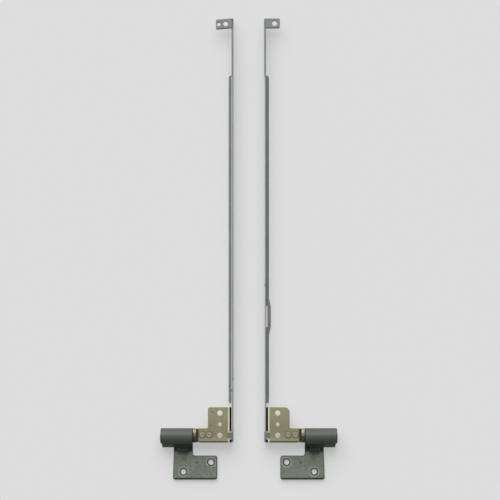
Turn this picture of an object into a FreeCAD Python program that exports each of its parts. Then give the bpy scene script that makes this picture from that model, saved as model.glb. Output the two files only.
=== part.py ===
"""Pair of laptop lid hinges with their display side rails, opened flat and lying face up.

Each hinge is built in its own coordinates: u runs along the hinge axis from the barrel's inner end
towards the rail, v points along the rail away from the base leaf, and w points up. The hinge axis is
u itself. The left hinge is moved to its place, and the right one is mirrored first.
"""
import FreeCAD, Part
import math
import os
from FreeCAD import Vector

# Pair, in millimetres
barrel_gap = 58.2          # between the inner ends of the two barrels
axis_to_leaf_end = 21.8    # hinge axis to the free edge of the base leaf
axis_to_rail_end = 218.2   # hinge axis to the far end of the side rail

# Base leaf with its curled barrel
strip_t = 2.0              # thickness of the base stamping
barrel_length = 16.7
barrel_end_chamfer = 0.4
barrel_slant = 1.1         # how far the outer end runs in towards the neck's side
seam_angle = 228.0         # where the curl's tail stops, in degrees from the rail side
neck_width = 9.9
neck_bend_r = 2.2          # inside radius of the bend between neck and leaf
leaf_top_edge = 9.3        # hinge axis to the near edge of the leaf's wide part
leaf_reach_u = 12.7        # barrel's inner end to the leaf's inner edge
leaf_flare = 0.5           # how far the outer edge spreads towards the free edge
leaf_corner_r = 1.3
leaf_notch_r = 1.1
leaf_edge = 0.5            # eased upper edge of the leaf
leaf_hole_r = 1.4
leaf_hole_inner = (9.4, -12.7)
leaf_hole_outer = (-4.9, -17.7)
gusset_width = 5.5
gusset_foot = 3.8          # reach of the gusset along the leaf, past the neck
gusset_rise = 3.8          # height of the gusset on the neck, above the leaf
gusset_round = 0.7
gusset_root = 1.2          # how deep the gusset runs into the neck and the leaf

# Shaft
shaft_r = 2.97
running_clearance = 0.03
shaft_dome = 0.35          # height of the domed end that stands out of the barrel
key_r = 1.95
key_flat = 1.45            # axis to each flat of the keyed neck
key_clearance = 0.03
tang_t = 2.4
tang_length = 9.9
tang_inset = 0.25          # the plate covers the tang by this much all round
tang_corner_r = 1.2

# Lobed washers
end_clearance = 0.1        # barrel's end to the first washer
washer_t = 0.8
washer_back_r = 2.5
washer_lobe_r = 2.75

# Lid plate
plate_t = 1.1
plate_gap = 1.2            # washers to the end of the plate's arm
arm_up = 4.95              # hinge axis to the arm's edge on the rail side
arm_down = 2.5             # hinge axis to the arm's edge on the leaf side
arm_corner_r = 1.3
plate_step_u = 7.9         # barrel's inner end to the outer edge of the plate's wide part
plate_reach_v = 15.9       # hinge axis to the plate's far edge
plate_notch_r = 0.8
plate_corner_r = {"left": 1.0, "right": 2.8}
plate_edge = 0.18          # eased upper edge of the plate
plate_bend_r = 0.2         # inside radius of the down-turned edge
plate_skirt = 4.4          # height of the down-turned edge, over all
skirt_gap = 0.75           # rail's web to the outside of the bend
skirt_land = 1.0           # height of the foot that leans out against the web
plate_hole_u = 14.1
plate_screw_r = 1.35
plate_screw_spacing = 11.5
plate_screw_v = 1.35       # hinge axis to the screw hole beside it
plate_pin_r = 1.0
plate_pin_v = 7.0
lug_width = 3.1            # the rail's lug, which butts against the plate between two slits
lug_v = 1.2                # middle of the lug
relief_width = 0.5         # slit in the down-turned edge, either side of the lug

# Rivets
rivet_r = 0.9
rivet_clearance = 0.03
rivet_head_r = 1.45
rivet_head_h = 0.35
rivet_crown_r = 1.2        # where the head's sloping flank meets its flat ring
rivet_dimple_r = 0.8
rivet_dimple_depth = 0.25
rivet_foot_r = 1.5
rivet_foot_h = 0.5
rivet_u = {"outer": 4.8, "inner": 8.6}
rivet_v = 1.45

# Side rail
rail_t = 1.0
rail_u = 20.1              # barrel's inner end to the web's face on the plate side
rail_height = 7.0
rail_foot_v = -2.2         # lower end of the web, from the hinge axis
rail_edge_round = 0.15
flange_width = 2.5         # over the web's outside
flange_bend_r = 0.4
flange_start_v = 17.9
flange_end_v = 188.8
flange_corner_r = 1.1
lug_bend_r = 0.3
tab_width = 5.2
tab_length = {"left": 9.1, "right": 8.2}
tab_skew = {"left": 5.0, "right": 0.0}
tab_corner_r = 0.8
tab_bend_r = 0.5
tab_hole_r = 1.25
tab_hole_from_web = {"left": 4.1, "right": 5.4}
tab_pin_r = 0.9
tab_pin_from_hole = 3.5    # locating hole of the left tab, beyond its screw hole
panel_hole_r = 1.1
panel_hole_v = (29.0, 202.8)
panel_hole_height = 4.0
bulge_middle_v = 63.0
bulge_length = 19.2
bulge_top = 10.4
bulge_reach = 1.0
bulge_ease_r = 1.5
slot_width = 0.8
slot_length = 10.9

# Worked out from the sizes above
bore_r = shaft_r + running_clearance
barrel_r = bore_r + strip_t
leaf_top = strip_t - barrel_r
table = -barrel_r
washers_end = end_clearance + 2 * washer_t
arm_u = washers_end + plate_gap
plate_under = tang_t / 2
plate_top = plate_under + plate_t
skirt_u = rail_u - skirt_gap
bend_start = skirt_u - plate_bend_r - plate_t
rail_out = rail_u + rail_t
rail_top = table + rail_height
bend_line = table + flange_bend_r + rail_t
axis_y = (axis_to_leaf_end - axis_to_rail_end) / 2
hair = 1e-4                # how close counts as touching when edges are picked


def box(u0, u1, v0, v1, w0, w1):
    return Part.makeBox(u1 - u0, v1 - v0, w1 - w0, Vector(u0, v0, w0))


def rod_along_u(radius, u0, u1):
    return Part.makeCylinder(radius, u1 - u0, Vector(u0, 0, 0), Vector(1, 0, 0))


def upright(radius, u, v, w0, w1):
    return Part.makeCylinder(radius, w1 - w0, Vector(u, v, w0), Vector(0, 0, 1))


def rounded_outline(corners):
    """Closed wire through (point, radius) corners, each rounded by an arc."""
    ends = []
    for i, (corner, radius) in enumerate(corners):
        back = (corners[i - 1][0] - corner).normalize()
        ahead = (corners[(i + 1) % len(corners)][0] - corner).normalize()
        half = back.getAngle(ahead) / 2
        reach = radius / math.tan(half)
        middle = (back + ahead).normalize() * (radius / math.sin(half) - radius)
        ends.append((corner + back * reach, corner + middle, corner + ahead * reach))
    edges = []
    for i, (start, middle, end) in enumerate(ends):
        if corners[i][1] > 0:
            edges.append(Part.Arc(start, middle, end).toShape())
        following = ends[(i + 1) % len(ends)][0]
        if (following - end).Length > hair:
            edges.append(Part.LineSegment(end, following).toShape())
    return Part.Wire(edges)


def slab(corners, w0, w1):
    """Flat piece from (u, v, radius) corners, between two heights."""
    wire = rounded_outline([(Vector(u, v, w0), r) for u, v, r in corners])
    return Part.Face(wire).extrude(Vector(0, 0, w1 - w0))


def section(corners, u0, u1):
    """Bar along u from (v, w, radius) corners of its cross-section."""
    wire = rounded_outline([(Vector(u0, v, w), r) for v, w, r in corners])
    return Part.Face(wire).extrude(Vector(u1 - u0, 0, 0))


def bent_strip(corners, v0, v1):
    """Bar along v from (u, w, radius) corners of its cross-section."""
    wire = rounded_outline([(Vector(u, v0, w), r) for u, w, r in corners])
    return Part.Face(wire).extrude(Vector(0, v1 - v0, 0))


def edges_at_height(shape, w):
    """Edges that lie flat at one height."""
    found = []
    for edge in shape.Edges:
        if abs(edge.BoundBox.ZMin - w) < hair and abs(edge.BoundBox.ZMax - w) < hair:
            found.append(edge)
    return found


def base_leaf():
    barrel = rod_along_u(barrel_r, -barrel_length, 0)
    outer_end = [e for e in barrel.Edges if e.isClosed() and e.BoundBox.XMax < -barrel_length + hair]
    barrel = barrel.makeChamfer(barrel_end_chamfer, outer_end)
    barrel = barrel.cut(rod_along_u(bore_r, -2 * barrel_length, barrel_length))
    tail = math.radians(seam_angle)
    reach = 2 * barrel_r
    open_seam = section([(0, 0, 0), (-reach, 0, 0), (-reach, -reach, 0),
                         (reach * math.cos(tail), reach * math.sin(tail), 0)],
                        -2 * barrel_length, barrel_length)
    barrel = barrel.cut(open_seam)
    slant = slab([(-barrel_length, 0, 0), (-barrel_length, -barrel_r, 0),
                  (-barrel_length + barrel_slant, -barrel_r, 0)], -barrel_r, barrel_r)
    barrel = barrel.cut(slant)

    # Neck: down the barrel's side, then a bend out to the leaf
    bend_end = -barrel_r - neck_bend_r
    neck = section([(-bore_r, 0, 0), (-barrel_r, 0, 0), (-barrel_r, leaf_top, neck_bend_r),
                    (bend_end, leaf_top, 0), (bend_end, table, 0),
                    (-bore_r, table, neck_bend_r + strip_t)], -neck_width, 0)

    leaf = slab([(-neck_width, bend_end, 0), (0, bend_end, 0), (0, -leaf_top_edge, leaf_notch_r),
                 (leaf_reach_u, -leaf_top_edge, leaf_corner_r),
                 (leaf_reach_u, -axis_to_leaf_end, leaf_corner_r),
                 (-neck_width - leaf_flare, -axis_to_leaf_end, leaf_corner_r)], table, leaf_top)
    rim = []
    for edge in edges_at_height(leaf, leaf_top):
        middle = edge.valueAt((edge.FirstParameter + edge.LastParameter) / 2)
        if middle.y < bend_end - hair:
            rim.append(edge)
    leaf = leaf.makeChamfer(leaf_edge, rim)

    # Gusset pressed up across the bend, sunk at both ends
    slope = math.hypot(gusset_foot, gusset_rise)
    half = gusset_width / 2
    gusset = box(-neck_width / 2 - half, -neck_width / 2 + half, -slope - gusset_root, gusset_root,
                 -gusset_root, 0)
    crest = [e for e in gusset.Edges if e.BoundBox.YLength > slope and e.BoundBox.ZMin > -hair]
    gusset = gusset.makeFillet(gusset_round, crest)
    gusset.rotate(Vector(0, 0, 0), Vector(1, 0, 0), math.degrees(math.atan2(gusset_rise, gusset_foot)))
    gusset.translate(Vector(0, -barrel_r, leaf_top + gusset_rise))

    solid = barrel.fuse([neck, leaf, gusset])
    for u, v in (leaf_hole_inner, leaf_hole_outer):
        solid = solid.cut(upright(leaf_hole_r, u, v, 2 * table, 0))
    return solid.removeSplitter()


def keyed_core(clearance, u0, u1):
    """Round neck with two flats, at the given play."""
    core = rod_along_u(key_r + clearance, u0, u1)
    flat = key_flat + clearance
    return core.common(box(u0, u1, -2 * key_r, 2 * key_r, -flat, flat))


def shaft():
    # Journal, its outer end domed by a wide sphere
    end = -barrel_length - shaft_dome
    dome_r = (shaft_r ** 2 + shaft_dome ** 2) / (2 * shaft_dome)
    journal = rod_along_u(shaft_r, end, 0)
    journal = journal.common(Part.makeSphere(dome_r, Vector(end + dome_r, 0, 0)))
    neck = keyed_core(0, 0, washers_end)
    tang = slab([(washers_end, -arm_down + tang_inset, 0),
                 (washers_end + tang_length, -arm_down + tang_inset, tang_corner_r),
                 (washers_end + tang_length, arm_up - tang_inset, tang_corner_r),
                 (washers_end, arm_up - tang_inset, 0)], -tang_t / 2, tang_t / 2)
    solid = journal.fuse([neck, tang])
    for u in rivet_u.values():
        solid = solid.cut(upright(rivet_r + rivet_clearance, u, rivet_v, -tang_t, tang_t))
    return solid.removeSplitter()


def lobed_washer(u0):
    lobe_v = arm_up - washer_lobe_r
    back = Part.makeCylinder(washer_back_r, washer_t, Vector(u0, 0, 0), Vector(1, 0, 0))
    lobe = Part.makeCylinder(washer_lobe_r, washer_t, Vector(u0, lobe_v, 0), Vector(1, 0, 0))
    lean = math.asin((washer_lobe_r - washer_back_r) / lobe_v)
    across = math.cos(lean)
    along = -math.sin(lean)
    flanks = section([(washer_back_r * along, washer_back_r * across, 0),
                      (lobe_v + washer_lobe_r * along, washer_lobe_r * across, 0),
                      (lobe_v + washer_lobe_r * along, -washer_lobe_r * across, 0),
                      (washer_back_r * along, -washer_back_r * across, 0)], u0, u0 + washer_t)
    disc = back.fuse([lobe, flanks]).removeSplitter()
    return disc.cut(keyed_core(key_clearance, u0 - washer_t, u0 + 2 * washer_t))


def lid_plate(side):
    flat = slab([(arm_u, -arm_down, arm_corner_r), (bend_start, -arm_down, 0),
                 (bend_start, plate_reach_v, 0),
                 (plate_step_u, plate_reach_v, plate_corner_r[side]),
                 (plate_step_u, arm_up, plate_notch_r), (arm_u, arm_up, 0)],
                plate_under, plate_top)
    rim = []
    for edge in edges_at_height(flat, plate_top):
        if edge.BoundBox.XMin < bend_start - hair:
            rim.append(edge)
    flat = flat.makeChamfer(plate_edge, rim)

    # Down-turned edge either side of the rail's lug: it leans out, and its foot is upright against the web
    foot = plate_top - plate_skirt
    skirt = [(bend_start, plate_top, 0), (skirt_u, plate_top, plate_bend_r + plate_t),
             (rail_u, foot + skirt_land, 0), (rail_u, foot, 0),
             (rail_u - plate_t, foot, 0), (rail_u - plate_t, foot + skirt_land, 0),
             (skirt_u - plate_t, plate_under, plate_bend_r), (bend_start, plate_under, 0)]
    half_opening = lug_width / 2 + relief_width
    long_skirt = bent_strip(skirt, lug_v + half_opening, plate_reach_v)
    short_skirt = bent_strip(skirt, -arm_down, lug_v - half_opening)

    solid = flat.fuse([long_skirt, short_skirt])
    holes = [(plate_screw_r, plate_screw_v), (plate_screw_r, plate_screw_v + plate_screw_spacing),
             (plate_pin_r, plate_pin_v)]
    for radius, v in holes:
        solid = solid.cut(upright(radius, plate_hole_u, v, 0, 2 * plate_top))
    for u in rivet_u.values():
        solid = solid.cut(upright(rivet_r + rivet_clearance, u, rivet_v, 0, 2 * plate_top))
    return solid.removeSplitter()


def rivet(u):
    """Solid rivet, revolved: flat foot under the tang, dimpled head above the plate."""
    foot = -tang_t / 2 - rivet_foot_h
    top = plate_top + rivet_head_h
    profile = [(0, foot), (rivet_foot_r, foot), (rivet_foot_r, -tang_t / 2), (rivet_r, -tang_t / 2),
               (rivet_r, plate_top), (rivet_head_r, plate_top), (rivet_crown_r, top),
               (rivet_dimple_r, top), (0, top - rivet_dimple_depth), (0, foot)]
    outline = Part.makePolygon([Vector(r, 0, w) for r, w in profile])
    solid = Part.Face(outline).revolve(Vector(0, 0, 0), Vector(0, 0, 1), 360)
    solid.translate(Vector(u, rivet_v, 0))
    return solid


def side_rail(side):
    web = box(rail_u, rail_out, rail_foot_v, axis_to_rail_end, bend_line, rail_top)
    lips = [e for e in edges_at_height(web, rail_top) if e.BoundBox.XLength < hair]
    web = web.makeFillet(rail_edge_round, lips)

    # Bottom flange, bent towards the plate's side
    flange_u = rail_out - flange_width
    flange = bent_strip([(rail_out, bend_line, 0), (rail_out, table, flange_bend_r + rail_t),
                         (flange_u, table, 0), (flange_u, table + rail_t, 0),
                         (rail_u, table + rail_t, flange_bend_r), (rail_u, bend_line, 0)],
                        flange_start_v, flange_end_v)
    tips = []
    for edge in flange.Edges:
        upright_edge = edge.BoundBox.ZLength > rail_t - hair and edge.BoundBox.XLength < hair
        if upright_edge and abs(edge.BoundBox.XMin - flange_u) < hair:
            tips.append(edge)
    flange = flange.makeFillet(flange_corner_r, tips)
    pieces = [flange]

    # The right rail's flange swells round a long slot at the bend
    if side == "right":
        half = bulge_length / 2
        ramp = (bulge_length - bulge_top) / 2
        pieces.append(slab([(rail_u, bulge_middle_v - half, 0), (flange_u, bulge_middle_v - half, 0),
                            (flange_u - bulge_reach, bulge_middle_v - half + ramp, bulge_ease_r),
                            (flange_u - bulge_reach, bulge_middle_v + half - ramp, bulge_ease_r),
                            (flange_u, bulge_middle_v + half, 0), (rail_u, bulge_middle_v + half, 0)],
                           table, table + rail_t))

    # Screw tab folded over from the web's top edge, its free end leaning towards the hinge
    fold = rail_out - tab_bend_r - rail_t
    end_u = rail_out - tab_length[side]
    hole_u = rail_out - tab_hole_from_web[side]
    lean = math.tan(math.radians(tab_skew[side]))
    tab_foot = axis_to_rail_end - tab_width
    tab = slab([(end_u, tab_foot - lean * (fold - end_u), tab_corner_r), (fold, tab_foot, 0),
                (fold, axis_to_rail_end, 0),
                (end_u, axis_to_rail_end - lean * (fold - end_u), tab_corner_r)],
               rail_top - rail_t, rail_top)
    holes = [(tab_hole_r, hole_u)]
    if side == "left":
        holes.append((tab_pin_r, hole_u - tab_pin_from_hole))
    for radius, u in holes:
        v = axis_to_rail_end - tab_width / 2 - lean * (fold - u)
        tab = tab.cut(upright(radius, u, v, table, 2 * rail_top))
    pieces.append(tab)
    pieces.append(bent_strip([(fold, rail_top, 0), (rail_out, rail_top, tab_bend_r + rail_t),
                              (rail_out, rail_top - rail_t - tab_bend_r, 0),
                              (rail_u, rail_top - rail_t - tab_bend_r, 0),
                              (rail_u, rail_top - rail_t, tab_bend_r), (fold, rail_top - rail_t, 0)],
                             tab_foot, axis_to_rail_end))
    web = web.cut(box(rail_u, rail_out, tab_foot, axis_to_rail_end,
                      rail_top - rail_t - tab_bend_r, rail_top))

    # Lug bent over from the web, level with the plate that it is welded to
    lug_low = lug_v - lug_width / 2
    lug_foot = plate_top - rail_t - lug_bend_r
    pieces.append(bent_strip([(bend_start, plate_top, 0), (rail_out, plate_top, lug_bend_r + rail_t),
                              (rail_out, lug_foot, 0), (rail_u, lug_foot, 0),
                              (rail_u, plate_top - rail_t, lug_bend_r), (bend_start, plate_top - rail_t, 0)],
                             lug_low, lug_low + lug_width))
    web = web.cut(box(rail_u, rail_out, lug_low, lug_low + lug_width, lug_foot, rail_top))
    solid = web.fuse(pieces)

    if side == "right":
        solid = solid.cut(box(rail_u - slot_width, rail_u, bulge_middle_v - slot_length / 2,
                              bulge_middle_v + slot_length / 2, 2 * table, 0))
    for v in panel_hole_v:
        solid = solid.cut(Part.makeCylinder(panel_hole_r, 2 * rail_t,
                                            Vector(rail_u - rail_t / 2, v, table + panel_hole_height),
                                            Vector(1, 0, 0)))
    return solid.removeSplitter()


def hinge(side):
    """All pieces of one hinge, named, in the hinge's own coordinates."""
    return {
        "base_leaf": base_leaf(),
        "shaft": shaft(),
        "friction_washer": lobed_washer(end_clearance),
        "stop_washer": lobed_washer(end_clearance + washer_t),
        "lid_plate": lid_plate(side),
        "outer_rivet": rivet(rivet_u["outer"]),
        "inner_rivet": rivet(rivet_u["inner"]),
        "side_rail": side_rail(side),
    }


os.makedirs("parts", exist_ok=True)
for side, direction in (("left", 1), ("right", -1)):
    for piece, shape in hinge(side).items():
        if direction < 0:
            shape = shape.mirror(Vector(0, 0, 0), Vector(1, 0, 0))
        shape.translate(Vector(-direction * barrel_gap / 2, axis_y, barrel_r))
        shape.exportStep(f"parts/{side}_{piece}.step")
        print(f"{side}_{piece}", "valid" if shape.isValid() else "NOT VALID", len(shape.Solids), "solid",
              round(shape.Volume, 2), "mm3")
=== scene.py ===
import bmesh
import bpy
import math
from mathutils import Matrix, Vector


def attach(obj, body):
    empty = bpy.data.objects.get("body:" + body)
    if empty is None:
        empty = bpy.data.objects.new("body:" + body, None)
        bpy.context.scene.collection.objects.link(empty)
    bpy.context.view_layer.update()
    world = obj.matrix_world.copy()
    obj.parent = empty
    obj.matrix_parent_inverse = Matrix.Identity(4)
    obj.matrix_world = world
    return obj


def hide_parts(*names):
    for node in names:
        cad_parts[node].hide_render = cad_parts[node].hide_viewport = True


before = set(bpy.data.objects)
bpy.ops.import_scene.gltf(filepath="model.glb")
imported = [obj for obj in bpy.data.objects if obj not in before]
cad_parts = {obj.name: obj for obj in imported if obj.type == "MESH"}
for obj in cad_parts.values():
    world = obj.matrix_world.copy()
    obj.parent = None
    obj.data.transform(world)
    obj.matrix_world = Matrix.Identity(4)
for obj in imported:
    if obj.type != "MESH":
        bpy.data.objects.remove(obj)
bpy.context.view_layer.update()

MM = 0.001

# Places on the right-hand base leaf, in millimetres; the left-hand hinge mirrors all such places in X
LEAF_TOP = 2.0
LEAF_NEAR_EDGE = -107.5
LEAF_FREE_EDGE = -120.0
LEAF_EDGE_SHADE_BAND = (LEAF_FREE_EDGE + 0.8, LEAF_FREE_EDGE + 1.2)
LEAF_RIM_HEIGHTS = (1.2, 1.9)
LEAF_HOLES = ((19.7, -110.9), (34.0, -115.9))
HOLE_RADIUS = 1.4
HOLE_RIM = (HOLE_RADIUS - 0.2, HOLE_RADIUS + 0.2)
HOLE_UNDERSIDE = (0.0, 2.0)
SEAT_RADIUS = 2.4
SEAT_RIM = (SEAT_RADIUS - 0.2, SEAT_RADIUS + 0.1)
SEAT_DEPTH = 0.15
PIP = (27.0, -111.2)
PIP_RADIUS = 0.42
PIP_FOOT_RADIUS = 0.08
PIP_RIM = (0.0, 0.6)
PIP_DEPTH = 0.3
PIP_SHADE_REACH = (0.7, 0.7)
NECK = (29.2, 38.9)
NECK_FOLD = (-105.2, -103.4)
GUSSET = (31.4, 36.9)
GUSSET_MARGIN = 0.5
BARREL_START = (2.6, 3.4)
BARREL_INNER_END = (NECK[0] + 0.15, NECK[0] + 0.45)
BARREL_SLANT = 44.5
BARREL_CROWN = (-97.3, -95.9)
BARREL_FLANK = (-103.4, -101.6)
GUSSET_FOOT_SPOT = (33.7, -108.3)
GUSSET_FOOT_REACH = (2.2, 3.0)

# Places on the lid plate, its rivets and the washers
PLATE_TOP = 7.3
PLATE_FLAT = 11.2
BEND = (10.1, 10.65)
BEND_SLOT = (BEND[0] - 0.25, BEND[0])
ARM_EDGE = -100.7
ARM_EDGE_SHADE_BAND = (ARM_EDGE + 0.6, ARM_EDGE + 1.0)
ARM_HIGHLIGHT_BAND = (-99.5, -98.3)
TOWARD_BARREL_FADE = (-92.0, -86.0)
RIVETS = ((24.3, -96.75), (20.5, -96.75))
RIVET_SHADE_RADIUS = 1.5
RIVET_RIM_RADIUS = 1.2
RIVET_DIMPLE_REACH = (0.8, 0.8)
RIVET_HAZE_REACH = (3.6, 3.4)
WASHER_FRONT = (-97.8, -96.6)

# Places on the side rail
WEB_PLATE_FACE = 9.0
LUG = (-98.55, -95.45)
LUG_FLAT = (8.6, 9.2)
RAIL_FOOT = (LUG[0] - 0.4, LUG[0])
RAIL_UPPER_EDGE = (6.0, 6.6)
FLANGE_END = 90.0
FLANGE_RIM = 10.3
FLANGE_TOP = 1.0
WEB_HIGHLIGHT_LENGTH = (LUG[1] + 1.0, FLANGE_END - 1.0)
TAB_START = 113.5
TAB_FADE = (TAB_START, TAB_START + 0.5)
TAB_FRONT = 114.8
TAB_ROLL = (0.35, 0.8)
TAB_FOLD = (8.9, 9.3)
TAB_ROOT = 9.6
TAB_UNDERSIDE = (5.6, 6.0)
TAB_HOLE_MARGIN = 0.2

# Features in which the two hinges differ, each with its own X
PLATE_DENTS = ((-18.8, -85.2), (-19.6, -92.2))
DENT_BALL = 1.2
DENT_DEPTH = 0.18
DENT_REACH = (0.85, 0.85)
WEB_HIGHLIGHT_EDGES = ((-9.15, -8.75), (7.95, 8.35))
TAB_HOLES = ((-12.1, 117.17, 1.25), (-15.6, 116.87, 0.9), (13.4, 117.4, 1.25))
TAB_LEAN = 0.0875
RAIL_MARKS = ((-8.2, -67.6), (-10.1, -71.2), (-9.0, -73.6), (8.6, -18.8))
MARK_REACH = (0.6, 1.0)

# Widths of rounded edges, in millimetres
LEAF_EASE = 0.10
SEAT_EASE = 0.04
PIP_EASE = 0.05
HOLE_EASE = 0.35
PLATE_EASE = 0.08
RAIL_EASE = 0.10
PLAIN_EASE = 0.05

# Tones of the base leaves, as shares of red, green and blue light sent back
LEAF_TONE = (0.207, 0.240, 0.193)
BARREL_SHADED_TONE = (0.108, 0.122, 0.102)
SPECK_TONE = (0.05, 0.055, 0.045)
BARREL_SHADE = (0.035, 0.040, 0.033)
BARREL_UNDERSIDE_SHADE = (0.018, 0.020, 0.016)
NECK_FOLD_SHADE = (0.022, 0.024, 0.020)
GUSSET_FOOT_SHADE = (0.045, 0.050, 0.042)
LEAF_EDGE_SHADE = (0.022, 0.025, 0.020)
INNER_END_SHADE = (0.012, 0.013, 0.010)
LEAF_WORN = (0.40, 0.42, 0.38)
SEAT_RUBBED = (0.52, 0.56, 0.48)
HOLE_RIM_SHADE = (0.03, 0.034, 0.027)

# Tones of the lid plates and rivets
PLATE_GREEN = (0.330, 0.318, 0.182)
PLATE_BROWN = (0.358, 0.326, 0.206)
TOWARD_BARREL_TONE = (0.15, 0.135, 0.075)
ARM_HIGHLIGHT = (0.60, 0.56, 0.40)
RIVET_HAZE = (0.19, 0.150, 0.085)
RIVET_BASE_SHADE = (0.10, 0.088, 0.050)
DENT_TONE = (0.15, 0.14, 0.065)
SCRATCH_TONE = (0.42, 0.39, 0.28)
PLATE_WORN = (0.50, 0.46, 0.34)
ARM_EDGE_SHADE = (0.060, 0.052, 0.028)
BEND_HIGHLIGHT = (0.85, 0.81, 0.65)
SLOT_SHADE = (0.012, 0.010, 0.006)
RIVET_TONE = (0.36, 0.325, 0.225)
RIVET_RUBBED = (0.60, 0.56, 0.43)
DIMPLE_SHADE = (0.17, 0.15, 0.09)

# Tones of the side rails
RAIL_TONE = (0.280, 0.312, 0.283)
WEB_EDGE_HIGHLIGHT = (0.80, 0.82, 0.78)
RAIL_WORN = (0.50, 0.52, 0.49)
TAB_EDGE_SHADE = (0.04, 0.045, 0.04)
LUG_TONE = (0.195, 0.166, 0.128)
RAIL_FOOT_TONE = (0.105, 0.090, 0.066)
MARK_TONE = (0.06, 0.06, 0.05)

# Tones of the washers, the shafts and the floor
WASHER_TONE = (0.345, 0.322, 0.25)
WASHER_GREASE = (0.09, 0.08, 0.05)
WASHER_SHADE = (0.045, 0.040, 0.024)
SHAFT_TONE = (0.100, 0.085, 0.043)
SHAFT_GREASE = (0.050, 0.041, 0.018)
FLOOR_TONE = (0.42, 0.42, 0.42)

EDGE_WEAR_AND_SHADE = "edge_wear"

# How near corners merge and heights count as level, in millimetres, and angles between faces
MERGE = 0.002
SKIN = 0.05
SHARP = math.radians(32)
SMOOTH = math.radians(40)
FLAT = math.radians(0.5)


class Value:
    """One output in a finish's node tree, which takes part in sums as a number would."""

    def __init__(self, finish, socket):
        self.finish = finish
        self.socket = socket

    def __add__(self, other):
        return self.finish.maths("ADD", self, other)

    def __sub__(self, other):
        return self.finish.maths("SUBTRACT", self, other)

    def __mul__(self, other):
        return self.finish.maths("MULTIPLY", self, other)

    def __truediv__(self, other):
        return self.finish.maths("DIVIDE", self, other)

    def __pow__(self, other):
        return self.finish.maths("POWER", self, other)

    def __radd__(self, other):
        return self.finish.maths("ADD", other, self)

    def __rsub__(self, other):
        return self.finish.maths("SUBTRACT", other, self)


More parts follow.
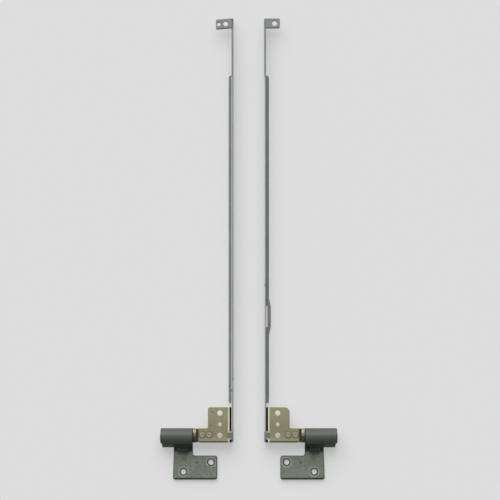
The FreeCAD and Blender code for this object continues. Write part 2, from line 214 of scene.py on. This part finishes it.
class Finish:
    """A procedural finish: a shader and the nodes that feed it, on a piece's own millimetres."""

    def __init__(self, name, metallic):
        self.material = bpy.data.materials.new(name)
        self.material.use_nodes = True
        self.tree = self.material.node_tree
        self.shader = self.tree.nodes["Principled BSDF"]
        self.shader.inputs["Metallic"].default_value = metallic
        coordinates = self.node("ShaderNodeTexCoord", output="Object")
        self.place = self.node("ShaderNodeVectorMath", {"operation": "SCALE"},
                               {"Vector": coordinates, "Scale": 1 / MM})

    def node(self, kind, settings=None, inputs=None, output=0):
        """Adds a node, with its settings first and then the values or links of its sockets."""
        made = self.tree.nodes.new(kind)
        for name, value in (settings or {}).items():
            if name == "stops":
                self.set_stops(made.color_ramp, value)
            else:
                setattr(made, name, value)
        for name, value in (inputs or {}).items():
            if isinstance(value, Value):
                self.tree.links.new(value.socket, made.inputs[name])
            else:
                made.inputs[name].default_value = value
        return Value(self, made.outputs[output])

    def set_stops(self, ramp, stops):
        """Gives a colour ramp its positions and colours."""
        while len(ramp.elements) < len(stops):
            ramp.elements.new(0.5)
        for element, (position, colour) in zip(ramp.elements, stops):
            element.position = position
            element.color = (*colour, 1.0)

    def maths(self, operation, first, second):
        """One sum of two values or numbers."""
        return self.node("ShaderNodeMath", {"operation": operation}, {0: first, 1: second})

    def stretched(self, x, y, z):
        """The piece's coordinates, stretched or squeezed along each axis."""
        return self.node("ShaderNodeMapping", {}, {"Vector": self.place, "Scale": (x, y, z)})

    def noise(self, scale, detail=3.0, roughness=0.55, where=None):
        """A noise from 0 to 1, its scale in cells a millimetre."""
        sockets = {"Vector": where or self.place, "Scale": scale, "Detail": detail,
                   "Roughness": roughness}
        return self.node("ShaderNodeTexNoise", {}, sockets, output="Fac")

    def between(self, value, low, high):
        """0 below low, 1 above high, and a smooth step from one to the other."""
        return self.node("ShaderNodeMapRange", {"interpolation_type": "SMOOTHSTEP"},
                         {"Value": value, "From Min": low, "From Max": high}, output="Result")

    def ramp(self, value, stops):
        """The colour at a value on a ramp of stops."""
        return self.node("ShaderNodeValToRGB", {"stops": stops}, {"Fac": value}, output="Color")

    def tones(self, value, colour, spread):
        """A colour that varies by a share of itself to either side, as a value runs from 0.3 to 0.7."""
        return self.ramp(value, [(at, tuple(c * (1 + share) for c in colour))
                                 for at, share in ((0.3, -spread), (0.5, 0.0), (0.7, spread))])

    def mixed(self, amount, first, second):
        """A colour from first to second."""
        sockets = {0: amount}
        for index, colour in ((6, first), (7, second)):
            sockets[index] = colour if isinstance(colour, Value) else (*colour, 1.0)
        return self.node("ShaderNodeMix", {"data_type": "RGBA"}, sockets, output=2)

    def along(self, axis):
        """The piece's own X, Y or Z, in millimetres."""
        return self.node("ShaderNodeSeparateXYZ", {}, {0: self.place}, output=axis)

    def size_of(self, value):
        """A value without its sign."""
        return self.maths("ABSOLUTE", value, 0.0)

    def from_middle(self):
        """Distance from the plane midway between the two hinges."""
        return self.size_of(self.along("X"))

    def band(self, value, limits, soft):
        """1 between the limits, fading over soft outside."""
        low, high = limits
        return self.between(value, low - soft, low) * (1 - self.between(value, high, high + soft))

    def distance(self, x, y, reach=(1.0, 1.0), mirrored=True):
        """Distance seen from above to (x, y) or its mirror image, in units of a reach in X and Y."""
        across = ((self.from_middle() if mirrored else self.along("X")) - x) / reach[0]
        along = (self.along("Y") - y) / reach[1]
        return (across * across + along * along) ** 0.5

    def ring(self, place, radius, width):
        """1 on an upright ring about a place, fading over its width."""
        return 1 - self.between(self.size_of(self.distance(*place) - radius), width * 0.3, width)

    def spot(self, place, reach, mirrored=True):
        """1 at a place, fading to 0 at its reach."""
        return 1 - self.between(self.distance(*place, reach, mirrored), 0.35, 1.0)

    def edges(self):
        """1 on the rounded edges of a piece."""
        return self.node("ShaderNodeAttribute", {"attribute_name": EDGE_WEAR_AND_SHADE}, output="Fac")

    def worn_edges(self):
        """1 on the rounded edges, broken up by a noise."""
        return self.edges() * self.between(self.noise(0.8, 4.0, 0.7), 0.35, 0.65)

    def set(self, socket, value):
        """Gives a socket of the shader a value or a link."""
        target = self.shader.inputs[socket]
        if isinstance(value, Value):
            self.tree.links.new(value.socket, target)
        else:
            target.default_value = value

    def bump(self, height, depth, strength=1.0):
        """Relief of a height from 0 to 1, its depth in millimetres."""
        sockets = {"Height": height, "Distance": depth * MM, "Strength": strength}
        self.set("Normal", self.node("ShaderNodeBump", {}, sockets, output="Normal"))


def passivated_steel():
    """Dark grey-green passivated steel of the base leaves, mottled, darker on the barrel by painted
    shade.
    """
    finish = Finish("passivated_steel", metallic=0.35)
    clouds = finish.noise(0.16, 4.0, 0.6)
    mottle = finish.noise(0.9, 3.0, 0.6)
    grain = finish.noise(4.0, 2.0, 0.6)
    across = finish.from_middle()
    along = finish.along("Y")
    height = finish.along("Z")
    barrel = finish.between(height, *BARREL_START)

    patches = clouds * 0.25 + mottle * 0.45 + grain * 0.3
    # Painted shade: the barrel gets a darker tone than the leaf
    colour = finish.mixed(barrel, finish.tones(patches, LEAF_TONE, 0.45),
                          finish.tones(patches, BARREL_SHADED_TONE, 0.22))
    specks = finish.between(finish.noise(1.7, 1.0, 0.5), 0.66, 0.74)
    colour = finish.mixed(specks * 0.5, colour, SPECK_TONE)
    # Painted shade on the barrel, darker still from its crown forwards
    shaded_front = barrel * (1 - finish.between(along, *BARREL_CROWN))
    colour = finish.mixed(shaded_front * 0.5, colour, BARREL_SHADE)

    # Painted shade in the fold under the barrel, beside the gusset and below it
    shade_under_barrel = finish.band(along, BARREL_FLANK, 0.7) * finish.band(across, NECK, 0.3)
    shade_beside_gusset = finish.band(along, NECK_FOLD, 0.5) * (1 - finish.band(across, GUSSET, 0.3))
    shade_below_gusset = finish.spot(GUSSET_FOOT_SPOT, GUSSET_FOOT_REACH) * (0.55 + mottle * 0.6)
    colour = finish.mixed(shade_under_barrel * 0.8, colour, BARREL_UNDERSIDE_SHADE)
    colour = finish.mixed(shade_beside_gusset * 0.7, colour, NECK_FOLD_SHADE)
    colour = finish.mixed(shade_below_gusset * 0.4, colour, GUSSET_FOOT_SHADE)

    # Painted shade on the edges rolled over by the press and at the barrel's inner end, and edges
    # rubbed bright here and there
    free_edge = 1 - finish.between(along, *LEAF_EDGE_SHADE_BAND)
    shaded_edge = finish.maths("MAXIMUM", finish.band(height, LEAF_RIM_HEIGHTS, 0.06) * 0.5, free_edge * 0.9)
    shaded_inner_end = barrel * (1 - finish.between(across, *BARREL_INNER_END))
    worn = finish.between(mottle, 0.52, 0.64) * finish.edges()
    colour = finish.mixed(shaded_edge, colour, LEAF_EDGE_SHADE)
    colour = finish.mixed(shaded_inner_end * 0.9, colour, INNER_END_SHADE)
    colour = finish.mixed(worn * 0.2, colour, LEAF_WORN)

    # Rings left by the screws' heads, and painted shade on the rims of the holes and round the pip
    rubbed = 0.0
    hole_shade = finish.spot(PIP, PIP_SHADE_REACH)
    for hole in LEAF_HOLES:
        rubbed = finish.ring(hole, SEAT_RADIUS, 0.35) + rubbed
        hole_shade = finish.ring(hole, HOLE_RADIUS + 0.1, 0.45) + hole_shade
    scuff = finish.between(finish.noise(1.3, 4.0, 0.7), 0.25, 0.55)
    colour = finish.mixed(rubbed * scuff * 0.8, colour, SEAT_RUBBED)
    colour = finish.mixed(hole_shade * 0.8, colour, HOLE_RIM_SHADE)

    finish.set("Base Color", colour)
    finish.set("Roughness", 0.50 + grain * 0.14 + mottle * 0.06)
    pits = finish.between(finish.noise(6.0, 2.0, 0.5), 0.25, 0.75)
    finish.bump(pits * 0.6 + mottle * 0.4, 0.03, 0.5)
    return finish.material


def bronze_chromate():
    """Olive-bronze chromate of the lid plates: clouds of colour, scratches, a bend rubbed bright."""
    finish = Finish("bronze_chromate", metallic=0.4)
    clouds = finish.noise(0.25, 4.0, 0.65)
    mottle = finish.noise(1.1, 3.0, 0.6)
    grain = finish.noise(4.5, 2.0, 0.6)
    along = finish.along("Y")
    patches = mottle * 0.5 + grain * 0.5
    colour = finish.mixed(finish.between(clouds, 0.38, 0.62), finish.tones(patches, PLATE_GREEN, 0.20),
                          finish.tones(patches, PLATE_BROWN, 0.20))
    # Darker towards the barrel end
    toward_barrel = 1 - finish.between(along, *TOWARD_BARREL_FADE)
    colour = finish.mixed(toward_barrel * (0.15 + clouds * 0.2), colour, TOWARD_BARREL_TONE)
    # Painted highlight in a bar along the arm
    colour = finish.mixed(finish.band(along, ARM_HIGHLIGHT_BAND, 0.3) * 0.2, colour, ARM_HIGHLIGHT)

    # Painted shade round the rivets' heads, a darker haze about them, and darker dents
    rivet_shade = 0.0
    haze = 0.0
    for place in RIVETS:
        rivet_shade = finish.ring(place, RIVET_SHADE_RADIUS, 0.4) + rivet_shade
        haze = finish.maths("MAXIMUM", finish.spot(place, RIVET_HAZE_REACH), haze)
    colour = finish.mixed(haze * (0.1 + mottle * 0.4), colour, RIVET_HAZE)
    colour = finish.mixed(rivet_shade * (0.2 + mottle * 0.7), colour, RIVET_BASE_SHADE)
    dents = 0.0
    for place in PLATE_DENTS:
        dents = finish.spot(place, DENT_REACH, mirrored=False) + dents
    colour = finish.mixed(dents * 0.4, colour, DENT_TONE)

    # Scratches, worn edges, painted shade on the arm's rolled edge, a painted highlight on the bend,
    # partly rubbed bright, and painted shade in the slot beside the rail
    scratches = finish.noise(1.0, 3.0, 0.7, finish.stretched(0.6, 6.0, 1.0))
    colour = finish.mixed(finish.between(scratches, 0.62, 0.72) * 0.3, colour, SCRATCH_TONE)
    worn = finish.worn_edges()
    colour = finish.mixed(worn * 0.15, colour, PLATE_WORN)
    shaded_edge = 1 - finish.between(along, *ARM_EDGE_SHADE_BAND)
    colour = finish.mixed(shaded_edge * 0.75, colour, ARM_EDGE_SHADE)
    across = finish.from_middle()
    # Painted highlight on the bend, partly rubbed bright metal
    bend_highlight = finish.band(across, BEND, 0.12) * (1 - finish.band(along, LUG, 0.2))
    bend_highlight = bend_highlight * (0.65 + clouds * 0.6)
    colour = finish.mixed(bend_highlight, colour, BEND_HIGHLIGHT)
    # Painted shade in the slot between the skirt and the rail
    slot = (1 - finish.between(across, *BEND_SLOT)) * (1 - finish.band(along, LUG, 0.2))
    colour = finish.mixed(slot * 0.95, colour, SLOT_SHADE)

    finish.set("Base Color", colour)
    finish.set("Metallic", 0.4 - bend_highlight * 0.3)
    finish.set("Roughness", 0.46 + grain * 0.16 + clouds * 0.08)
    finish.bump(grain * 0.7 + scratches * 0.3, 0.02, 0.5)
    return finish.material


def rubbed_chromate():
    """The same chromate on the rivets, rubbed bright round the heads, with painted shade in the
    dimples.
    """
    finish = Finish("rubbed_chromate", metallic=0.5)
    grain = finish.noise(4.5, 2.0, 0.6)
    colour = finish.tones(grain, RIVET_TONE, 0.25)
    rim = 0.0
    dimple_shade = 0.0
    for place in RIVETS:
        rim = finish.ring(place, RIVET_RIM_RADIUS, 0.35) + rim
        dimple_shade = finish.spot(place, RIVET_DIMPLE_REACH) + dimple_shade
    colour = finish.mixed(rim * 0.45, colour, RIVET_RUBBED)
    colour = finish.mixed(dimple_shade * 0.35, colour, DIMPLE_SHADE)
    finish.set("Base Color", colour)
    finish.set("Roughness", 0.42 + grain * 0.16)
    finish.bump(grain, 0.02, 0.5)
    return finish.material


def tab_shade_rims(finish):
    """1 where painted shade goes: along the rolled front edge of both tabs and on the far side of their
    holes.
    """
    across = finish.from_middle()
    along = finish.along("Y")
    left = 1 - finish.between(finish.along("X"), -1.0, 1.0)
    from_front = along + left * (across - WEB_PLATE_FACE) * TAB_LEAN - TAB_FRONT
    rims = (1 - finish.between(from_front, *TAB_ROLL)) * finish.between(across, *TAB_FOLD)
    for x, y, radius in TAB_HOLES:
        far = finish.between(along, y, y + radius)
        size = finish.distance(x, y, mirrored=False)
        rims = (1 - finish.between(size, radius + 0.1, radius + 0.6)) * far + rims
    return rims * finish.between(finish.along("Z"), *TAB_UNDERSIDE)


def zinc_sheet():
    """Grey zinc-plated strip of the side rails, drawn lengthwise, smudged, with a painted highlight
    along the web's top edge.
    """
    finish = Finish("zinc_sheet", metallic=0.4)
    drawn = finish.noise(1.0, 3.0, 0.6, finish.stretched(5.0, 0.12, 5.0))
    smudges = finish.noise(0.09, 4.0, 0.6)
    grain = finish.noise(4.0, 2.0, 0.6)
    side = finish.along("X")
    along = finish.along("Y")
    high = finish.between(finish.along("Z"), *RAIL_UPPER_EDGE)
    colour = finish.tones(drawn * 0.45 + smudges * 0.35 + grain * 0.2, RAIL_TONE, 0.28)

    # Painted highlight along the web's top edge, worn edges elsewhere, and painted shade on the tabs'
    # edges and in their holes
    tab = finish.between(along, *TAB_FADE)
    web_highlight = 0.0
    for edge in WEB_HIGHLIGHT_EDGES:
        web_highlight = finish.band(side, edge, 0.15) + web_highlight
    web_highlight = web_highlight * high * finish.band(along, WEB_HIGHLIGHT_LENGTH, 1.0)
    web_highlight = web_highlight * (0.4 + drawn * 0.9)
    colour = finish.mixed(web_highlight, colour, WEB_EDGE_HIGHLIGHT)
    worn = finish.worn_edges()
    colour = finish.mixed(worn * (1 - tab) * 0.25, colour, RAIL_WORN)
    tab_shade = finish.edges() * 0.6 + tab_shade_rims(finish)
    colour = finish.mixed(tab_shade * tab * 0.75, colour, TAB_EDGE_SHADE)

    # Browned lug, a darker brownish foot, and single marks
    lug = finish.band(along, LUG, 0.3) * finish.between(finish.from_middle(), *LUG_FLAT)
    colour = finish.mixed(lug * 0.85, colour, LUG_TONE)
    foot = 1 - finish.between(along, *RAIL_FOOT)
    colour = finish.mixed(foot * 0.6, colour, RAIL_FOOT_TONE)
    marks = 0.0
    for mark in RAIL_MARKS:
        marks = finish.spot(mark, MARK_REACH, mirrored=False) + marks
    colour = finish.mixed(marks * 0.6, colour, MARK_TONE)

    finish.set("Base Color", colour)
    finish.set("Roughness", 0.46 + grain * 0.12 + smudges * 0.1)
    finish.bump(drawn * 0.6 + grain * 0.4, 0.02, 0.5)
    return finish.material


def washer_bronze():
    """Pale bronze of the washers, with a film of dark grease in places."""
    finish = Finish("washer_bronze", metallic=0.5)
    grease = finish.between(finish.noise(0.7, 4.0, 0.6), 0.45, 0.7)
    grain = finish.noise(7.0, 2.0, 0.6)
    colour = finish.tones(grain, WASHER_TONE, 0.2)
    colour = finish.mixed(grease * 0.6, colour, WASHER_GREASE)
    # Painted shade on the washers' fronts
    shaded_front = 1 - finish.between(finish.along("Y"), *WASHER_FRONT)
    finish.set("Base Color", finish.mixed(shaded_front * 0.75, colour, WASHER_SHADE))
    finish.set("Roughness", 0.45 + grain * 0.12 + grease * 0.1)
    finish.bump(grain, 0.02, 0.4)
    return finish.material


def greased_steel():
    """Shaft steel with turned marks round it, browned by old grease."""
    finish = Finish("greased_steel", metallic=0.7)
    turned = finish.noise(1.0, 3.0, 0.6, finish.stretched(7.0, 0.3, 0.3))
    grease = finish.between(finish.noise(0.5, 4.0, 0.6), 0.32, 0.62)
    colour = finish.tones(turned, SHAFT_TONE, 0.3)
    finish.set("Base Color", finish.mixed(grease * 0.75, colour, SHAFT_GREASE))
    finish.set("Roughness", 0.40 + turned * 0.14 + grease * 0.12)
    finish.bump(turned, 0.01, 0.5)
    return finish.material


def pale_floor():
    """Plain pale sheet under the hinges, with a little light of its own."""
    finish = Finish("pale_floor", metallic=0.0)
    fibres = finish.noise(0.35, 4.0, 0.6)
    finish.set("Base Color", finish.tones(fibres, FLOOR_TONE, 0.006))
    finish.set("Emission Color", (1.0, 1.0, 1.0, 1.0))
    finish.set("Emission Strength", 0.38)
    finish.set("Roughness", 0.85)
    finish.set("Specular IOR Level", 0.15)
    return finish.material


def deselect_all():
    bpy.ops.object.select_all(action="DESELECT")


def make_active(piece):
    """Selects one piece alone, for the operators that follow."""
    deselect_all()
    piece.select_set(True)
    bpy.context.view_layer.objects.active = piece


def copy_of_solid(node):
    """A copy of a solid's mesh, with its triangles merged and its flat faces made whole."""
    piece = bpy.data.objects.new(f"{node}_dressed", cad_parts[node].data.copy())
    bpy.context.scene.collection.objects.link(piece)
    make_active(piece)
    piece.data.attributes.new(EDGE_WEAR_AND_SHADE, "FLOAT", "FACE")
    bpy.ops.object.mode_set(mode="EDIT")
    bpy.ops.mesh.select_all(action="SELECT")
    bpy.ops.mesh.customdata_custom_splitnormals_clear()
    bpy.ops.mesh.remove_doubles(threshold=MERGE * MM)
    bpy.ops.mesh.dissolve_limited(angle_limit=FLAT)
    bpy.ops.object.mode_set(mode="OBJECT")
    return piece


def cut_away(piece, tool):
    """Takes a tool's form out of a piece, and the tool away."""
    make_active(piece)
    cut = piece.modifiers.new("cut", "BOOLEAN")
    cut.operation = "DIFFERENCE"
    cut.solver = "EXACT"
    cut.object = tool
    bpy.ops.object.modifier_apply(modifier=cut.name)
    make_active(tool)
    bpy.ops.object.delete()


def sink_round(piece, place, radius, depth, foot_radius):
    """A round recess in the leaf's upper face, straight or narrowing to its foot."""
    deselect_all()
    above = 0.2
    slope = (radius - foot_radius) / depth
    middle = Vector((*place, LEAF_TOP + (above - depth) / 2))
    bpy.ops.mesh.primitive_cone_add(vertices=64, radius1=foot_radius * MM,
                                    radius2=(radius + slope * above) * MM,
                                    depth=(depth + above) * MM, location=middle * MM)
    cut_away(piece, bpy.context.object)


def dent(piece, place):
    """A shallow round dent in the plate's upper face."""
    deselect_all()
    middle = Vector((*place, PLATE_TOP + DENT_BALL - DENT_DEPTH))
    bpy.ops.mesh.primitive_uv_sphere_add(segments=32, ring_count=48, radius=DENT_BALL * MM,
                                         location=middle * MM)
    cut_away(piece, bpy.context.object)


def ease(piece, width, segments, wanted=None):
    """Rounds a piece's sharp edges, all or those whose middle is wanted, and marks the new faces."""
    make_active(piece)
    bpy.ops.object.mode_set(mode="EDIT")
    bpy.ops.mesh.select_mode(type="EDGE")
    bpy.ops.mesh.select_all(action="DESELECT")
    bpy.ops.mesh.edges_select_sharp(sharpness=SHARP)
    mesh = bmesh.from_edit_mesh(piece.data)
    for edge in mesh.edges:
        if edge.select and wanted and not wanted((edge.verts[0].co + edge.verts[1].co) / 2 / MM):
            edge.select_set(False)
    mesh.select_flush_mode()
    bmesh.update_edit_mesh(piece.data)
    bpy.ops.mesh.bevel(offset=width * MM, segments=segments, affect="EDGES", clamp_overlap=False)
    mesh = bmesh.from_edit_mesh(piece.data)
    worn = mesh.faces.layers.float[EDGE_WEAR_AND_SHADE]
    for face in mesh.faces:
        if face.select:
            face[worn] = 1.0
    bmesh.update_edit_mesh(piece.data)
    bpy.ops.mesh.select_all(action="SELECT")
    bpy.ops.mesh.remove_doubles(threshold=MERGE * MM)
    bpy.ops.object.mode_set(mode="OBJECT")


def finished(piece, node, material):
    """Smooths a piece, gives it its finish and stands it for its solid."""
    make_active(piece)
    bpy.ops.object.shade_smooth_by_angle(angle=SMOOTH)
    flats = piece.modifiers.new("flat_faces", "WEIGHTED_NORMAL")
    flats.keep_sharp = True
    bpy.ops.object.modifier_apply(modifier=flats.name)
    piece.data.materials.clear()
    piece.data.materials.append(material)
    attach(piece, "base_sides" if node.endswith("base_leaf") else node.split("_")[0] + "_lid_side")
    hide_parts(node)


def near(middle, place, limits):
    """Whether an edge's middle lies within limits of an upright line, on either hinge."""
    low, high = limits
    return low <= math.hypot(abs(middle.x) - place[0], middle.y - place[1]) <= high


def near_leaf_hole(middle, limits):
    """Whether an edge's middle lies within limits of a screw hole's axis."""
    return any(near(middle, hole, limits) for hole in LEAF_HOLES)


def clear_of_folds(middle):
    """Whether a leaf's edge is clear of the gusset, the slanting end and the holes' undersides."""
    beside = GUSSET[0] - GUSSET_MARGIN < abs(middle.x) < GUSSET[1] + GUSSET_MARGIN
    gusset = beside and middle.y > LEAF_NEAR_EDGE
    underside = middle.z < LEAF_TOP / 4 and near_leaf_hole(middle, HOLE_UNDERSIDE)
    return abs(middle.x) < BARREL_SLANT and not gusset and not underside


def on_seat_rim(middle):
    """Whether a leaf's edge is the upper rim of a screw head's seat."""
    return middle.z > LEAF_TOP - SKIN and near_leaf_hole(middle, SEAT_RIM)


def on_pip_rim(middle):
    """Whether a leaf's edge is the upper rim of its pip."""
    return middle.z > LEAF_TOP - SKIN and near(middle, PIP, PIP_RIM)


def on_hole_rim(middle):
    """Whether a leaf's edge is the upper rim of a screw hole."""
    return middle.z > LEAF_TOP / 2 and near_leaf_hole(middle, HOLE_RIM)


def on_plate_flat(middle):
    """Whether a plate's edge is on its flat part, away from the bend."""
    return abs(middle.x) > PLATE_FLAT


def on_flange_rim(middle):
    """Whether a rail's edge is along the free edge of its flange."""
    return abs(middle.x) > FLANGE_RIM and middle.z < FLANGE_TOP + 2 * SKIN


def on_tab_outline(middle):
    """Whether a rail's edge is on its tab, away from the fold and from the holes."""
    from_holes = [math.hypot(middle.x - x, middle.y - y) - radius for x, y, radius in TAB_HOLES]
    on_tab = abs(middle.x) > TAB_ROOT and middle.y > TAB_START
    return on_tab and min(from_holes) > TAB_HOLE_MARGIN


def side_of(piece):
    """1 for a piece of the right-hand hinge, -1 for one of the left-hand one."""
    return 1 if piece.name.startswith("right") else -1


def dress_leaf(piece):
    """Eases a leaf's edges, and sinks the seats of its screws and its pip."""
    side = side_of(piece)
    ease(piece, LEAF_EASE, 3, clear_of_folds)
    for x, y in LEAF_HOLES:
        sink_round(piece, (side * x, y), SEAT_RADIUS, SEAT_DEPTH, SEAT_RADIUS)
    sink_round(piece, (side * PIP[0], PIP[1]), PIP_RADIUS, PIP_DEPTH, PIP_FOOT_RADIUS)
    ease(piece, SEAT_EASE, 2, on_seat_rim)
    ease(piece, PIP_EASE, 2, on_pip_rim)
    ease(piece, HOLE_EASE, 3, on_hole_rim)


def dress_plate(piece):
    """Eases a plate's edges and dents it where its own hinge has dents."""
    ease(piece, PLATE_EASE, 2, on_plate_flat)
    for place in PLATE_DENTS:
        if side_of(piece) * place[0] > 0:
            dent(piece, place)


def dress_rail(piece):
    """Eases the free edge of a rail's flange and the outline of its tab."""
    ease(piece, RAIL_EASE, 2, on_flange_rim)
    ease(piece, RAIL_EASE, 2, on_tab_outline)


def dress_plain(piece):
    """Eases all edges of a small piece."""
    ease(piece, PLAIN_EASE, 2)


def soft_sun(place, strength, spread):
    """A wide soft lamp far off, shining on the origin."""
    deselect_all()
    bpy.ops.object.light_add(type="SUN", location=place)
    lamp = bpy.context.object
    lamp.name = "key_lamp"
    lamp.data.energy = strength
    lamp.data.angle = math.radians(spread)
    lamp.rotation_euler = (-Vector(place)).to_track_quat("-Z", "Y").to_euler()


def studio_dome(brightest, dim, bright):
    """A white dome, brightest in one direction and dim on the side away from it."""
    world = bpy.data.worlds.new("studio_dome")
    world.use_nodes = True
    nodes = world.node_tree.nodes
    links = world.node_tree.links
    direction = nodes.new("ShaderNodeTexCoord")
    towards = nodes.new("ShaderNodeVectorMath")
    towards.operation = "DOT_PRODUCT"
    towards.inputs[1].default_value = Vector(brightest).normalized()
    level = nodes.new("ShaderNodeMapRange")
    level.interpolation_type = "SMOOTHSTEP"
    level.inputs["From Min"].default_value = -0.2
    level.inputs["From Max"].default_value = 0.92
    level.inputs["To Min"].default_value = dim
    level.inputs["To Max"].default_value = bright
    links.new(direction.outputs["Generated"], towards.inputs[0])
    links.new(towards.outputs["Value"], level.inputs["Value"])
    links.new(level.outputs["Result"], nodes["Background"].inputs["Strength"])
    nodes["Background"].inputs["Color"].default_value = (0.98, 0.99, 1.0, 1.0)
    bpy.context.scene.world = world


chromate_rivet = rubbed_chromate()
washer = washer_bronze()
wardrobe = {
    "base_leaf": (dress_leaf, passivated_steel(), "base_steel"),
    "shaft": (dress_plain, greased_steel(), "shaft_steel"),
    "friction_washer": (dress_plain, washer, "washer_bronze"),
    "stop_washer": (dress_plain, washer, "washer_bronze"),
    "lid_plate": (dress_plate, bronze_chromate(), "plate_bronze"),
    "outer_rivet": (dress_plain, chromate_rivet, "rivet_steel"),
    "inner_rivet": (dress_plain, chromate_rivet, "rivet_steel"),
    "side_rail": (dress_rail, zinc_sheet(), "rail_steel"),
}

for node in sorted(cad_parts):
    dress, material, slot = wardrobe[node.split("_", 1)[1]]
    piece = copy_of_solid(node)
    dress(piece)
    finished(piece, node, material)

# Floor, its size in metres and its drop below the hinges in millimetres
FLOOR_SIZE = 4.0
FLOOR_DROP = 0.05
deselect_all()
bpy.ops.mesh.primitive_plane_add(size=FLOOR_SIZE, location=(0, 0, -FLOOR_DROP * MM))
floor = bpy.context.object
floor.name = "floor"
floor.data.materials.append(pale_floor())

# Light from above and from beyond the rails' far end, dim on the leaves' side
soft_sun(place=(-0.12, 0.74, 0.66), strength=2.3, spread=60)
studio_dome(brightest=(-0.25, 0.80, 0.55), dim=0.19, bright=0.48)

# Camera: looks down on the middle of the pair, two degrees off upright, from two metres away
METRES_PER_PIXEL = 0.0005203
PIXELS_ACROSS = 500
SENSOR_MM = 36
ELEVATION = math.radians(88)
DISTANCE = 2.0
target = Vector((0.00062, -0.00062, 0.005))
towards_camera = Vector((0, -math.cos(ELEVATION), math.sin(ELEVATION)))
bpy.ops.object.camera_add(location=target + towards_camera * DISTANCE)
camera = bpy.context.object
camera.name = "camera"
camera.rotation_euler = (math.pi / 2 - ELEVATION, 0, 0)
camera.data.sensor_width = SENSOR_MM
camera.data.lens = SENSOR_MM * DISTANCE / (PIXELS_ACROSS * METRES_PER_PIXEL)
bpy.context.scene.camera = camera
bpy.context.scene.view_settings.view_transform = "Standard"
